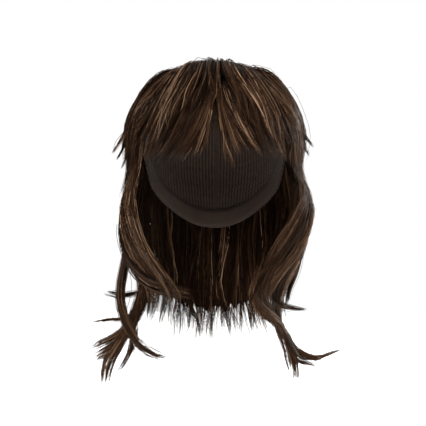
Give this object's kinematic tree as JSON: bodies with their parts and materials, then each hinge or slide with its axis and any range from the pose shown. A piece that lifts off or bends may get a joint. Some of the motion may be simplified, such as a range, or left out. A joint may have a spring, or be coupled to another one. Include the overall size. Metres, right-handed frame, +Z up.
{
  "type": "mullet wig",
  "caption": "Shoulder-length dark brown mullet wig as worn: stretch cap with elastic edge, parted fringe, layered sides and long back.",
  "frame": {"origin": "inside of the cap's crown, where the top of the head touches it", "axes": "+Z up, the wearer looks along -Y, +X to the right of a viewer who faces the wearer"},
  "size_m": [0.2587, 0.2225, 0.3463],
  "materials": {
    "cap_fabric": "matte",
    "elastic": "matte",
    "hair": "satin"
  },
  "bodies": {
    "root": {"wig_cap": "cap_fabric", "edge_band": "elastic", "crown_hair": "hair", "fringe_left": "hair", "fringe_right": "hair", "temple_hair_left": "hair", "temple_hair_right": "hair", "side_hair_left": "hair", "side_hair_right": "hair", "back_hair": "hair", "nape_hair": "hair"}
  },
  "joints": []
}
